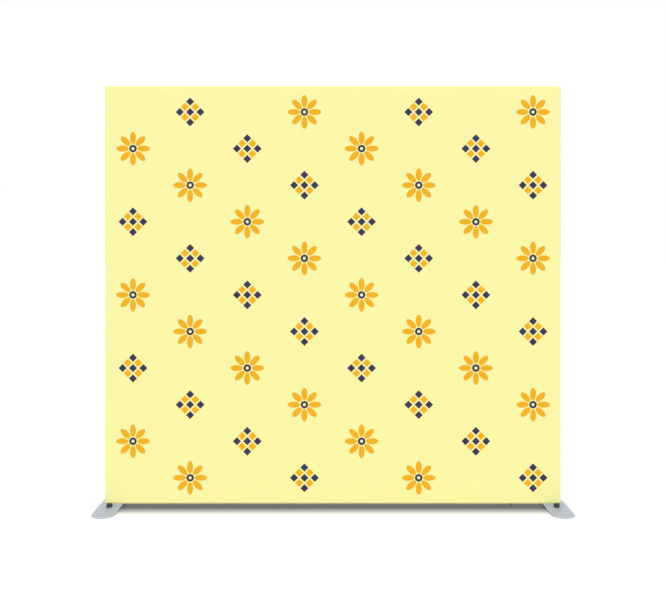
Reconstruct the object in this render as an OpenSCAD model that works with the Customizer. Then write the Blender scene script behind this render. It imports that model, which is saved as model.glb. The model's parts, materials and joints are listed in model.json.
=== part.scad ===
// Free-standing fabric display wall: a knock-down frame of round tubes inside a zipped stretch cover,
// carried by two flat swivelling feet.
// Millimetres, +Z up, origin on the floor under the middle of the wall. The printed front faces -Y.

/* [Wall] */
// Width of the wall over its fabric
wall_w = 2500; // [1800:10:3000]
// Height of the fabric from its bottom edge to its top edge
wall_h = 2290; // [1800:10:2500]

/* [Cover] */
// Thickness of the stretch fabric
fabric_t = 0.8; // [0.5:0.1:1.2]
// Space between the frame and the stretched fabric
fabric_gap = 0.3; // [0.2:0.1:0.5]

/* [Frame tubes] */
// Outer diameter of the frame tubes
tube_d = 32; // [30:1:36]
// Wall of the frame tubes
tube_wall = 1.5; // [1:0.1:2]

/* [Connectors] */
// Length of a corner's leg from the crossing of its axes to the tube
elbow_leg = 36; // [30:1:50]
// Length of a tee's leg from the crossing of its axes to the tube
tee_leg = 26; // [22:1:40]
// Length of a spigot inside its tube
spigot_len = 60; // [56:1:80]
// Wall of a spigot
spigot_wall = 3.2; // [2.4:0.1:3.6]
// Radial clearance of a spigot in its tube
spigot_gap = 0.1; // [0.05:0.05:0.2]

/* [Rivets] */
// Diameter of a rivet's shank
rivet_d = 4; // [3.2:0.1:4.8]
// Diameter of a rivet's head
rivet_head_d = 8; // [6.5:0.1:9]
// Height of a rivet's head
rivet_head_h = 1.4; // [1:0.1:1.8]
// Distance of the first rivet from the end of its tube
rivet_edge = 15; // [12:1:20]
// Distance between the two rivets of a joint
rivet_pitch = 28; // [20:1:32]

/* [Snap buttons] */
// Diameter of a snap button
button_d = 8; // [6:0.2:9]
// Height of a button above its tube
button_proud = 3.5; // [2.5:0.1:4]
// Diameter of the flange that keeps the button in
flange_d = 11; // [10:0.2:12]
// Thickness of that flange
flange_t = 1.5; // [1:0.1:2]
// Radius of the button's domed end
dome_r = 6; // [5:0.5:9]
// Radial clearance of a button in its spigot
button_gap = 0.05; // [0.03:0.01:0.1]
// Radial clearance of a button in its tube
button_hole_gap = 0.2; // [0.1:0.05:0.4]
// Distance of a button from the end of its tube
button_edge = 26; // [22:1:30]
// Width of the leaf spring under a button
spring_w = 8; // [6:0.5:9]
// Thickness of the leaf spring
spring_t = 0.8; // [0.5:0.1:1]
// Length of the leaf spring from the button to its bend
spring_reach = 26; // [20:1:28]
// Distance between the two leaves at the spring's bend
spring_bend = 2.4; // [2:0.2:4]
// Length of the leaf spring behind the button
spring_heel = 8; // [6:1:12]

/* [Feet] */
// Width of a foot plate
foot_w = 120; // [90:5:160]
// Length of a foot plate from front to back
foot_len = 300; // [240:10:500]
// Thickness of a foot plate
foot_t = 5; // [4.5:0.5:8]
// Radius of the rounded ends of a foot plate
foot_end_r = 72; // [70:2:100]
// Distance of the foot's swivel axis from the side of the wall
foot_inset = 22; // [20:1:26]
// Diameter of the rubber pads
pad_d = 28; // [20:1:36]
// Thickness of the rubber pads
pad_t = 2; // [1.5:0.5:4]
// Distance of the pads' centres from the long edges
pad_edge_x = 24; // [20:1:36]
// Distance of the pads' centres from the ends
pad_edge_y = 52; // [46:1:80]

/* [Spacers] */
// Outer diameter of the spacer under each end of the wall
spacer_d = 32; // [26:1:36]
// Gap between the foot plate and the bottom edge of the fabric
spacer_h = 19; // [15:1:40]
// Diameter of the spacer's neck inside the corner
neck_d = 20; // [16:1:22]
// Radial clearance of the neck in its seat
neck_gap = 0.05; // [0.03:0.01:0.1]
// Depth of the seat above the underside of the corner
seat_depth = 4; // [3:0.5:6]
// Radial clearance of the fabric round the neck
neck_fabric_gap = 1; // [0.5:0.5:2]

/* [Foot bolts] */
// Diameter of the foot bolt
bolt_d = 8; // [6:1:10]
// Length of the foot bolt over its countersunk head
bolt_len = 45; // [42:1:50]
// Diameter of the bolt's head
bolt_head_d = 16; // [15:0.5:17]
// Width across the flats of the bolt's socket
socket_af = 5; // [4:0.5:5]
// Depth of the bolt's socket
socket_depth = 3; // [2:0.5:3.5]
// Radial clearance of the bolt in the plate and the spacer
bolt_gap = 0.1; // [0.05:0.05:0.4]
// Outer diameter of the threaded insert
insert_d = 12; // [11:0.5:13]
// Length of the threaded insert
insert_len = 18; // [14:1:22]

/* [Zip] */
// Distance of the zip from each side of the wall
zip_edge = 270; // [250:10:500]
// Space for the slider between the bottom tube and the cover's bottom curve
zip_room = 3; // [2.6:0.1:5]
// Width of the tape on each side of the zip's middle
tape_w = 11; // [9:0.5:13]
// Length of the tapes past the teeth at each end
tape_tail = 14; // [12:1:20]
// Width of one row of teeth
tooth_w = 2.6; // [2:0.1:3]
// Thickness of the teeth
tooth_t = 2.4; // [2:0.1:2.4]
// Length of the zip's end stops
stop_len = 3; // [2:0.5:4]
// Length of the slider
slider_len = 12; // [10:0.5:16]
// Width of the slider
slider_w = 9; // [8.6:0.2:11]
// Thickness of the slider's two plates
slider_plate = 1.2; // [0.8:0.1:1.2]
// Clearance of the slider round the teeth and the tapes
slider_gap = 0.3; // [0.2:0.05:0.3]
// Length of the post that joins the slider's plates
post_len = 2.5; // [2:0.5:3]
// Width of the slider's bridge and of its post
bridge_w = 2.2; // [1.8:0.2:2.6]
// Length of the slider's bridge
bridge_len = 6; // [5:0.5:7]
// Thickness of the bridge's bar
bridge_t = 1.6; // [1:0.1:2]
// Diameter of the pull's cross pin
pull_pin_d = 1.6; // [1.4:0.1:2]
// Length of the pull from its pin to its tip
pull_len = 16; // [12:1:18]
// Width of the pull
pull_w = 7; // [6:0.5:9]

/* [Hidden] */
$fn = 64;

// Colours
yellow = [0.97, 0.95, 0.66];
aluminium = [0.80, 0.82, 0.84];
black = [0.12, 0.12, 0.13];
steel = [0.66, 0.68, 0.70];
silver_grey = [0.74, 0.76, 0.77];
rubber = [0.16, 0.16, 0.17];
brass = [0.78, 0.62, 0.30];

eps = 0.01;              // lets a cut run past a face

// Cross-section
tube_r = tube_d / 2;
bore_r = tube_r - tube_wall;             // inside of a tube
spigot_r = bore_r - spigot_gap;
hollow_r = spigot_r - spigot_wall;       // inside of a spigot
cover_in = tube_r + fabric_gap;          // inner radius of the cover's edges
cover_out = cover_in + fabric_t;         // outer radius of the cover's edges

// Heights and the upright's place
plate_z = pad_t;
plate_top = plate_z + foot_t;
fabric_z = plate_top + spacer_h;         // bottom edge of the fabric
fold_z = fabric_z + cover_out;           // centre of the cover's bottom curve
rail_z = fold_z + zip_room;              // axis of the bottom rail
top_z = fabric_z + wall_h - cover_out;   // axis of the top rail
mid_z = (rail_z + top_z) / 2;            // where the uprights' tubes meet
axis_x = wall_w / 2 - cover_out;         // axis of an upright
foot_x = wall_w / 2 - foot_inset;        // swivel axis of a foot

// Turns that bring a local Z to where a button points and a local X to the mouth of its spigot
TURN_UP_RIGHT = [0, 0, 0];
TURN_UP_LEFT = [0, 0, 180];
TURN_DOWN_RIGHT = [180, 0, 0];
TURN_DOWN_LEFT = [0, 180, 0];
TURN_RIGHT_UP = [0, -90, 180];
TURN_LEFT_UP = [0, -90, 0];
TURN_RIGHT_DOWN = [0, 90, 0];
TURN_LEFT_DOWN = [0, 90, 180];

// Ends of tubes on a snap button: the end's place on the tube's axis, and the turn of the joint
SNAP_ENDS = [
    [[-axis_x + elbow_leg, 0, rail_z], TURN_UP_RIGHT],
    [[axis_x - elbow_leg, 0, rail_z], TURN_UP_LEFT],
    [[-axis_x + elbow_leg, 0, top_z], TURN_DOWN_RIGHT],
    [[axis_x - elbow_leg, 0, top_z], TURN_DOWN_LEFT],
    [[tee_leg, 0, rail_z], TURN_UP_RIGHT],
    [[tee_leg, 0, top_z], TURN_DOWN_RIGHT],
    [[0, 0, rail_z + tee_leg], TURN_RIGHT_UP],
    [[0, 0, top_z - tee_leg], TURN_RIGHT_DOWN],
    [[-axis_x, 0, mid_z], TURN_RIGHT_UP],
    [[axis_x, 0, mid_z], TURN_LEFT_UP],
    [[0, 0, mid_z], TURN_RIGHT_UP]
];

// Ends of tubes that are riveted to their spigot
RIVET_ENDS = [
    [[-axis_x, 0, rail_z + elbow_leg], TURN_RIGHT_UP],
    [[axis_x, 0, rail_z + elbow_leg], TURN_LEFT_UP],
    [[-axis_x, 0, top_z - elbow_leg], TURN_RIGHT_DOWN],
    [[axis_x, 0, top_z - elbow_leg], TURN_LEFT_DOWN],
    [[-tee_leg, 0, rail_z], TURN_UP_LEFT],
    [[-tee_leg, 0, top_z], TURN_DOWN_LEFT],
    [[-axis_x, 0, mid_z], TURN_RIGHT_DOWN],
    [[axis_x, 0, mid_z], TURN_LEFT_DOWN],
    [[0, 0, mid_z], TURN_RIGHT_DOWN]
];

// Snap button, measured from the axis of its tube
button_top = tube_r + button_proud;
flange_top = sqrt(pow(hollow_r, 2) - pow(flange_d / 2, 2));
flange_bottom = flange_top - flange_t;

// Leaf spring: a V from under the button's flange round a bend to the far side of the spigot
spring_high = flange_bottom - spring_t / 2;
spring_low = -sqrt(pow(hollow_r, 2) - pow(spring_w / 2, 2)) + spring_t / 2;
SPRING_PATH = [
    [-spring_heel, spring_high],
    [spring_heel, spring_high],
    [spring_reach, spring_low / 4 + spring_bend / 2],
    [spring_reach + spring_bend / 2, spring_low / 4],
    [spring_reach, spring_low / 4 - spring_bend / 2],
    [-spring_heel, spring_low]
];

// Foot
neck_top = rail_z - tube_r + seat_depth; // the seat in the corner
spacer_top = fabric_z - fabric_gap;      // the shoulder just under the fabric
head_h = (bolt_head_d - bolt_d) / 2;     // a countersink of 90 degrees

// Zip, measured from the middle of the tapes' thickness
zip_len = wall_w - 2 * zip_edge;         // the closed rows of teeth
zip_z = fold_z - (cover_in + cover_out) / 2;
channel_h = tooth_t / 2 + slider_gap;    // half the height of the slider's channel
slider_h = channel_h + slider_plate;     // half the height of the slider
slider_x = zip_len / 2 + slider_gap + post_len - slider_len / 2;
slider_end = slider_x + slider_len / 2;
pin_z = zip_z - slider_h - slider_gap - pull_pin_d / 2;
window_h = pull_pin_d + 2 * slider_gap;  // height of the bridge's window
bridge_far = sqrt(pow(bridge_len / 2, 2) + pow(window_h / 2 + bridge_t, 2));
pull_eye = bridge_far + slider_gap;      // from the pin to the end of the pull's eye
pull_arm_y = bridge_w / 2 + slider_gap;  // inner side of the pull's arms

// Height of the tapes' curve over the middle of the zip, at a distance y from it
function tape_rise(y, r) = cover_out - sqrt(pow(r, 2) - pow(y, 2));

// Unit vector at right angles to the way from a to b
function across(a, b) = let (d = (b - a) / norm(b - a)) [-d[1], d[0]];
// Mean direction across a path at its point i
function side_at(path, i) =
    let (n = len(path) - 1)
    let (before = across(path[max(i - 1, 0)], path[max(i, 1)]))
    let (after = across(path[min(i, n - 1)], path[min(i + 1, n)]))
    (before + after) / (1 + before * after);
// Outline of a strip of thickness t along a path
function strip(path, t) = concat(
    [for (i = [0 : len(path) - 1]) path[i] + side_at(path, i) * t / 2],
    [for (i = [len(path) - 1 : -1 : 0]) path[i] - side_at(path, i) * t / 2]
);

module along_x(length, r) {
    rotate([0, 90, 0]) cylinder(h = length, r = r);
}

module at_end(e) {
    translate(e[0]) rotate(e[1]) children();
}

// Everything within r of the wall's middle plane, rounded along its four edges
module wall_body(r) {
    intersection() {
        union() {
            translate([-axis_x, -r, 0]) cube([2 * axis_x, 2 * r, top_z + 2 * r]);
            translate([-axis_x, 0, 0]) cylinder(h = top_z + 2 * r, r = r);
            translate([axis_x, 0, 0]) cylinder(h = top_z + 2 * r, r = r);
        }
        union() {
            translate([-wall_w, -r, fold_z]) cube([2 * wall_w, 2 * r, top_z - fold_z]);
            translate([-wall_w, 0, fold_z]) along_x(2 * wall_w, r);
            translate([-wall_w, 0, top_z]) along_x(2 * wall_w, r);
        }
    }
}

module cover_shell() {
    difference() {
        wall_body(cover_out);
        wall_body(cover_in);
    }
}

// One half of the cover: side is -1 for the printed front and 1 for the back
module cover_half(side) {
    slot = zip_len + 2 * tape_tail;
    color(yellow) difference() {
        intersection() {
            cover_shell();
            translate([-wall_w, side < 0 ? -tube_d : 0, 0]) cube([2 * wall_w, tube_d, top_z + tube_d]);
        }
        translate([-slot / 2, -tape_w, 0]) cube([slot, 2 * tape_w, fold_z]);
        for (x = [-foot_x, foot_x])
            translate([x, 0, 0]) cylinder(h = fold_z, d = neck_d + 2 * neck_fabric_gap);
    }
}

// Holes of a button or of rivets through one side of a tube or a spigot, in the frame of a tube's end
module button_hole(d) {
    translate([button_edge, 0, 0]) cylinder(h = tube_d, d = d);
}

module rivet_holes() {
    for (x = [rivet_edge, rivet_edge + rivet_pitch])
        translate([x, 0, 0]) cylinder(h = tube_d, d = rivet_d);
}

// A tube along local X from the middle of one end, with the holes that its two ends need
module frame_tube(from, to) {
    way = to - from;
    turn = abs(way[2]) > 0 ? [0, 0, 0] : [0, 90, 0];
    color(aluminium) difference() {
        translate(from) rotate(turn) difference() {
            cylinder(h = norm(way), r = tube_r);
            translate([0, 0, -eps]) cylinder(h = norm(way) + 2 * eps, r = bore_r);
        }
        for (e = SNAP_ENDS) if (on_tube(e, from, to))
            at_end(e) button_hole(button_d + 2 * button_hole_gap);
        for (e = RIVET_ENDS) if (on_tube(e, from, to)) at_end(e) rivet_holes();
    }
}

// Whether an end e belongs to the tube between two points: it lies on one of them and runs to the other
function mouth_way(turn) =
    turn == TURN_UP_RIGHT || turn == TURN_DOWN_RIGHT ? [1, 0, 0]
    : turn == TURN_UP_LEFT || turn == TURN_DOWN_LEFT ? [-1, 0, 0]
    : turn == TURN_RIGHT_UP || turn == TURN_LEFT_UP ? [0, 0, 1]
    : [0, 0, -1];
function on_tube(e, from, to) =
    (norm(e[0] - from) < eps && mouth_way(e[1]) * (to - from) > 0)
    || (norm(e[0] - to) < eps && mouth_way(e[1]) * (from - to) > 0);

module upright(side, low) {
    x = side * axis_x;
    frame_tube([x, 0, low ? rail_z + elbow_leg : mid_z], [x, 0, low ? mid_z : top_z - elbow_leg]);
}

module pole(low) {
    frame_tube([0, 0, low ? rail_z + tee_leg : mid_z], [0, 0, low ? mid_z : top_z - tee_leg]);
}

module rail(side, z) {
    inner = side * tee_leg;
    outer = side * (axis_x - elbow_leg);
    frame_tube([min(inner, outer), 0, z], [max(inner, outer), 0, z]);
}

// A hollow spigot from the end of its tube, along local X
module spigot() {
    difference() {
        translate([-eps, 0, 0]) along_x(spigot_len + eps, spigot_r);
        along_x(spigot_len + eps, hollow_r);
    }
}

module joint_holes(x, z) {
    for (e = SNAP_ENDS) if (abs(e[0][0] - x) <= elbow_leg + eps && abs(e[0][2] - z) <= elbow_leg + eps)
        at_end(e) button_hole(button_d + 2 * button_gap);
    for (e = RIVET_ENDS) if (abs(e[0][0] - x) <= elbow_leg + eps && abs(e[0][2] - z) <= elbow_leg + eps)
        at_end(e) rivet_holes();
}

// Half of the space, on one side of the corner's mitre
module mitre_half(way) {
    reach = elbow_leg + tube_d;
    rotate([0, 45, 0]) translate([-reach, -tube_d, way < 0 ? -reach : 0])
        cube([2 * reach, 2 * tube_d, reach]);
}

// A mitred corner: its legs run towards the middle of the wall and up or down
module corner(side, z, way) {
    x = side * axis_x;
    color(black) difference() {
        union() {
            translate([x, 0, z]) mirror([side < 0 ? 1 : 0, 0, 0]) mirror([0, 0, way < 0 ? 1 : 0]) {
                intersection() {
                    translate([-elbow_leg, 0, 0]) along_x(elbow_leg + tube_r, tube_r);
                    mitre_half(-1);
                }
                intersection() {
                    translate([0, 0, -tube_r]) cylinder(h = elbow_leg + tube_r, r = tube_r);
                    mitre_half(1);
                }
                translate([-elbow_leg, 0, 0]) rotate([0, 0, 180]) spigot();
                translate([0, 0, elbow_leg]) rotate([0, -90, 0]) spigot();
            }
        }
        joint_holes(x, z);
        if (way > 0) translate([side * foot_x, 0, 0]) {
            cylinder(h = neck_top, d = neck_d + 2 * neck_gap);
            translate([0, 0, neck_top - eps]) cylinder(h = insert_len + eps, d = insert_d);
        }
    }
}

// A tee in the middle of a rail: way is 1 where its pole rises and -1 where it hangs down
module tee(z, way) {
    color(black) difference() {
        union() {
            translate([-tee_leg, 0, z]) along_x(2 * tee_leg, tube_r);
            translate([0, 0, z]) mirror([0, 0, way < 0 ? 1 : 0]) {
                cylinder(h = tee_leg, r = tube_r);
                translate([0, 0, tee_leg]) rotate([0, -90, 0]) spigot();
            }
            translate([tee_leg, 0, z]) spigot();
            translate([-tee_leg, 0, z]) rotate([0, 0, 180]) spigot();
        }
        joint_holes(0, z);
    }
}

// A sleeve inside the meeting ends of two tubes
module coupler(x) {
    color(black) difference() {
        translate([x, 0, mid_z - spigot_len]) difference() {
            cylinder(h = 2 * spigot_len, r = spigot_r);
            translate([0, 0, -eps]) cylinder(h = 2 * spigot_len + 2 * eps, r = hollow_r);
        }
        joint_holes(x, mid_z);
    }
}

module rivet() {
    tail_d = rivet_d * 1.6;
    tail_top = sqrt(pow(hollow_r, 2) - pow(tail_d / 2, 2));
    translate([0, 0, tail_top - rivet_head_h]) cylinder(h = rivet_head_h, d = tail_d);
    translate([0, 0, tail_top - eps]) cylinder(h = tube_r - tail_top + 2 * eps, d = rivet_d);
    translate([0, 0, tube_r]) cylinder(h = rivet_head_h, d1 = rivet_head_d, d2 = rivet_head_d * 0.6);
}

module rivets() {
    color(aluminium) for (e = RIVET_ENDS)
        at_end(e) for (x = [rivet_edge, rivet_edge + rivet_pitch]) translate([x, 0, 0]) rivet();
}

module snap_button(i) {
    color(steel) at_end(SNAP_ENDS[i]) translate([button_edge, 0, 0]) {
        translate([0, 0, flange_bottom]) cylinder(h = flange_t, d = flange_d);
        intersection() {
            translate([0, 0, flange_top - eps]) cylinder(h = button_top - flange_top + eps, d = button_d);
            union() {
                translate([0, 0, button_top - dome_r]) sphere(r = dome_r);
                cylinder(h = button_top - dome_r, d = flange_d);
            }
        }
    }
}

module button_springs() {
    color(steel) for (e = SNAP_ENDS)
        at_end(e) translate([button_edge, spring_w / 2, 0]) rotate([90, 0, 0])
            linear_extrude(spring_w) polygon(strip(SPRING_PATH, spring_t));
}

// A flat plate with rounded ends, countersunk from below for its bolt
module foot_plate(side) {
    end_y = foot_len / 2 - foot_end_r;
    color(silver_grey) translate([side * foot_x, 0, plate_z]) difference() {
        linear_extrude(foot_t) intersection() {
            square([foot_w, foot_len], center = true);
            union() {
                square([foot_w, 2 * end_y], center = true);
                for (y = [-end_y, end_y]) translate([0, y]) circle(r = foot_end_r, $fn = 128);
            }
        }
        translate([0, 0, -eps]) cylinder(h = foot_t + 2 * eps, d = bolt_d + 2 * bolt_gap);
        translate([0, 0, -eps])
            cylinder(h = head_h + eps, d1 = bolt_head_d + 2 * bolt_gap, d2 = bolt_d + 2 * bolt_gap);
    }
}

module foot_pads(side) {
    color(rubber) for (x = [-1, 1], y = [-1, 1])
        translate([side * foot_x + x * (foot_w / 2 - pad_edge_x), y * (foot_len / 2 - pad_edge_y), 0])
            cylinder(h = pad_t, d = pad_d);
}

// A spacer between the plate and the corner, with a neck that turns in the corner's seat
module foot_spacer(side) {
    color(black) translate([side * foot_x, 0, 0]) difference() {
        union() {
            translate([0, 0, plate_top]) cylinder(h = spacer_top - plate_top, d = spacer_d);
            translate([0, 0, plate_top]) cylinder(h = neck_top - plate_top, d = neck_d);
        }
        cylinder(h = neck_top + eps, d = bolt_d + 2 * bolt_gap);
    }
}

module foot_bolt(side) {
    color(steel) translate([side * foot_x, 0, plate_z]) difference() {
        union() {
            cylinder(h = bolt_len, d = bolt_d);
            cylinder(h = head_h, d1 = bolt_head_d, d2 = bolt_d);
        }
        translate([0, 0, -eps]) cylinder(h = socket_depth, d = socket_af / cos(30), $fn = 6);
    }
}

module foot_insert(side) {
    color(brass) translate([side * foot_x, 0, neck_top]) difference() {
        cylinder(h = insert_len, d = insert_d);
        translate([0, 0, -eps]) cylinder(h = insert_len + 2 * eps, d = bolt_d);
    }
}

module zip_tape(side) {
    length = zip_len + 2 * tape_tail;
    color(yellow) intersection() {
        cover_shell();
        translate([-length / 2, side < 0 ? -tape_w : tooth_w, 0]) cube([length, tape_w - tooth_w, fold_z]);
    }
}

module zip_teeth(side) {
    color("white") translate([-zip_len / 2, side < 0 ? -tooth_w : 0, zip_z - tooth_t / 2])
        cube([zip_len, tooth_w, tooth_t]);
}

// Two stops past the closed slider and one across the other end
module zip_stops() {
    color("white") {
        for (side = [-1, 1])
            translate([slider_end + slider_gap, side < 0 ? -tooth_w : tooth_w / 2, zip_z - tooth_t / 2])
                cube([stop_len, tooth_w / 2, tooth_t]);
        translate([-zip_len / 2 - stop_len, -tooth_w, zip_z - tooth_t / 2])
            cube([stop_len, 2 * tooth_w, tooth_t]);
    }
}

module zip_slider() {
    half = slider_w / 2;
    low = tape_rise(tooth_w, cover_out) - fabric_t / 2 - slider_gap;
    high = tape_rise(half, cover_in) - fabric_t / 2 + slider_gap;
    color(steel) translate([slider_x, 0, zip_z]) difference() {
        union() {
            translate([-slider_len / 2, -half, -slider_h]) cube([slider_len, slider_w, 2 * slider_h]);
            translate([-bridge_len / 2, -bridge_w / 2, -slider_h - window_h - bridge_t])
                cube([bridge_len, bridge_w, window_h + bridge_t + eps]);
        }
        difference() {
            union() {
                translate([-slider_len, -tooth_w - slider_gap, -channel_h])
                    cube([2 * slider_len, 2 * (tooth_w + slider_gap), 2 * channel_h]);
                translate([-slider_len, -slider_w, low]) cube([2 * slider_len, 2 * slider_w, high - low]);
            }
            translate([slider_len / 2 - post_len, -bridge_w / 2, -slider_h])
                cube([post_len, bridge_w, 2 * slider_h]);
        }
        translate([-window_h / 2, -slider_w, -slider_h - window_h]) cube([window_h, 2 * slider_w, window_h]);
    }
}

module zip_pull() {
    r = pull_pin_d / 2;
    color(steel) translate([slider_x, 0, pin_z]) {
        translate([0, pull_w / 2, 0]) rotate([90, 0, 0]) cylinder(h = pull_w, r = r);
        difference() {
            translate([-r, -pull_w / 2, -pull_len]) cube([pull_pin_d, pull_w, pull_len]);
            translate([-pull_pin_d, -pull_arm_y, -pull_eye])
                cube([2 * pull_pin_d, 2 * pull_arm_y, pull_eye + pull_pin_d]);
        }
    }
}

cover_half(-1);  // cover_front
cover_half(1);  // cover_back
upright(-1, true);  // upright_left_lower
upright(-1, false);  // upright_left_upper
upright(1, true);  // upright_right_lower
upright(1, false);  // upright_right_upper
pole(true);  // pole_lower
pole(false);  // pole_upper
rail(-1, rail_z);  // rail_bottom_left
rail(1, rail_z);  // rail_bottom_right
rail(-1, top_z);  // rail_top_left
rail(1, top_z);  // rail_top_right
corner(-1, rail_z, 1);  // corner_bottom_left
corner(1, rail_z, 1);  // corner_bottom_right
corner(-1, top_z, -1);  // corner_top_left
corner(1, top_z, -1);  // corner_top_right
tee(rail_z, 1);  // tee_bottom
tee(top_z, -1);  // tee_top
coupler(-axis_x);  // coupler_left
coupler(axis_x);  // coupler_right
coupler(0);  // coupler_pole
rivets();
button_springs();
snap_button(0);  // button_corner_bottom_left
snap_button(1);  // button_corner_bottom_right
snap_button(2);  // button_corner_top_left
snap_button(3);  // button_corner_top_right
snap_button(4);  // button_tee_bottom
snap_button(5);  // button_tee_top
snap_button(6);  // button_pole_bottom
snap_button(7);  // button_pole_top
snap_button(8);  // button_coupler_left
snap_button(9);  // button_coupler_right
snap_button(10);  // button_coupler_pole
foot_plate(-1);  // foot_plate_left
foot_plate(1);  // foot_plate_right
foot_pads(-1);  // foot_pads_left
foot_pads(1);  // foot_pads_right
foot_spacer(-1);  // foot_spacer_left
foot_spacer(1);  // foot_spacer_right
foot_bolt(-1);  // foot_bolt_left
foot_bolt(1);  // foot_bolt_right
foot_insert(-1);  // foot_insert_left
foot_insert(1);  // foot_insert_right
zip_tape(-1);  // zip_tape_front
zip_tape(1);  // zip_tape_back
zip_teeth(-1);  // zip_teeth_front
zip_teeth(1);  // zip_teeth_back
zip_stops();
zip_slider();
zip_pull();
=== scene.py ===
"""Free-standing fabric display wall: a printed stretch cover, zipped over a knock-down tube frame,
on two flat swivelling feet. Metres; +X along the wall, +Y to the back, +Z up; the printed front
faces -Y."""

import json
import math

import bmesh
import bpy
from mathutils import Matrix, Vector


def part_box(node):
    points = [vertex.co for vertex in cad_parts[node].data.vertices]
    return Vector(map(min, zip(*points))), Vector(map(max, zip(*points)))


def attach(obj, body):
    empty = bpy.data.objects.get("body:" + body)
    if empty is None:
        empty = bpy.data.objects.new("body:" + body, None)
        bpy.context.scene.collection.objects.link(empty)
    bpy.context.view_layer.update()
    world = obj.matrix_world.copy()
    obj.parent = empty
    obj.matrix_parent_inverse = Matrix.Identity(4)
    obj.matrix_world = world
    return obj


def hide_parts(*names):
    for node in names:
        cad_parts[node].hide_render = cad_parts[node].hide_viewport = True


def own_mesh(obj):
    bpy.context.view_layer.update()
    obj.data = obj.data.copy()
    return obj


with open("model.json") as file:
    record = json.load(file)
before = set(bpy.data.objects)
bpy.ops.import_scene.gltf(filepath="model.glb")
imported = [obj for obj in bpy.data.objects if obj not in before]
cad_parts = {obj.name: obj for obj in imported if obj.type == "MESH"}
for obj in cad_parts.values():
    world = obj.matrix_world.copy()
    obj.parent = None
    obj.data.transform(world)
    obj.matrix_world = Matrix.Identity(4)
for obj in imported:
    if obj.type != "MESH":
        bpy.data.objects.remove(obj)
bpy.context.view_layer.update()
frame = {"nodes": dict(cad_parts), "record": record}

MM = 0.001

# ---------------------------------------------------------------- sizes read from the frame
cover_low, cover_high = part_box("cover_front")
HALF = cover_high.x                      # from the middle of the wall to its side seam
EDGE_R = -cover_low.y                    # radius of the cover round the tubes
BOTTOM, TOP = cover_low.z, cover_high.z
MIDDLE_Z = (BOTTOM + TOP) / 2
tape_low, tape_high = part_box("zip_tape_front")
SLOT_HALF = tape_high.x                  # half the opening that the zip closes
SLOT_Y = -tape_low.y                     # edge of the panel beside the zip
teeth_low, teeth_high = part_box("zip_teeth_front")
slider_low, slider_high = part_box("zip_slider")
pull_low, pull_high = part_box("zip_pull")
FRONT, BACK = -1, 1
NECKS = [                                # the x of the spacers' necks
    sum(corner.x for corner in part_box("foot_spacer_" + side)) / 2 for side in ("left", "right")
]

# ---------------------------------------------------------------- sizes of the cloth and the zip
CLOTH = 0.45 * MM                        # thickness of the stretch knit
NECK_HOLE = 11 * MM                      # radius of the hole in the cover round a spacer's neck
HOLE_SIDES = 24
HOLE_MERGE = 0.1 * MM                    # points round the hole that are nearer are made one
SAME_PLACE = 0.001 * MM                  # and so are all other points that are nearer than this
SEAM_DIP = 0.35 * MM                     # how far the cloth draws in at a seam
SEAM_REACH = 1.2 * MM                    # and how far beside the seam it does so
DRAW_DEPTH = 0.6 * MM                    # scale of the taut cloth's draw beside the wall's edges
DRAW_FROM, DRAW_FULL = 1.5, 4.5          # where that starts and is full, in edge radii
DRAW_REACH = 0.22                        # and over what distance it dies away again
# how it varies along the top and bottom, and then along the sides: radians a metre along the edge,
# where that starts, and radians a metre away from the edge
DRAW_RIPPLES = (27.3, 0.6, 3.1), (24.1, 1.9, 2.3)
HEM_WIDTH = 8 * MM
HEM_TURN = HEM_WIDTH / EDGE_R            # the angle that a hem takes up round the bottom curve
HEM_PROUD = 0.3 * MM
HEM_ROWS = (2 * MM, 6.5 * MM)            # stitch rows, from the edge of the panel
STITCH_PITCH = 3 * MM
STITCH_PROUD = 0.1 * MM
STITCH_MIDDLE = 1.1 * MM                 # the straight part of a stitch
STITCH_END = 0.6 * MM                    # how far each end runs on
STITCH_DIVE = 0.22 * MM                  # and how deep it dives into the cloth
THREAD_R = 0.26 * MM
EDGE_ANGLE = math.asin(SLOT_Y / EDGE_R)  # where the panels end beside the zip
TAPE_OUTER = EDGE_R - 0.5 * MM           # outer side of the zip tapes, just inside the panels
TAPE_CLOTH = 0.3 * MM
TAPE_FROM = math.radians(5)              # the tapes' inner edge, round the bottom curve
TAPE_TURN = math.radians(55)             # and how far they go on from there

TOOTH_PITCH = 2.5 * MM
TOOTH_LENGTH = 1.3 * MM                  # along the zip
TOOTH_GAP = 0.2 * MM                     # from the middle of the zip to a tooth's clamp
TOOTH_SLIM = 0.96                        # a tooth's height, as a share of the frame's row of teeth
TOOTH_HEAD = 0.9 * MM                    # how far the head reaches out of the clamp
TOOTH_TAPER = (0.8, 1, 0.7)
SLIDER_TRIM = 0.04 * MM                  # taken off the slider's length and width with its corners
SLIDER_CORNER = 2.4 * MM
PULL_CORNER = 2.2 * MM
PULL_EYE = 6.2 * MM                      # height of the part of the pull that holds its eye
PULL_BORDER = 1.0 * MM                   # round the sunk panel of the pull's grip
PULL_SUNK = 0.25 * MM

# ---------------------------------------------------------------- sizes of the feet
FOOT_END_R = 72 * MM                     # the round of a plate's two ends
BOLT_HOLE_R = 4.1 * MM
COUNTERSINK_R = 8.2 * MM
COUNTERSINK_DEPTH = 4.1 * MM
PAD_R = 14 * MM
PAD_BORDER = 3 * MM                      # round the sunk middle of a pad
PAD_STEP = 1 * MM
PAD_SUNK = 0.4 * MM


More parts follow.
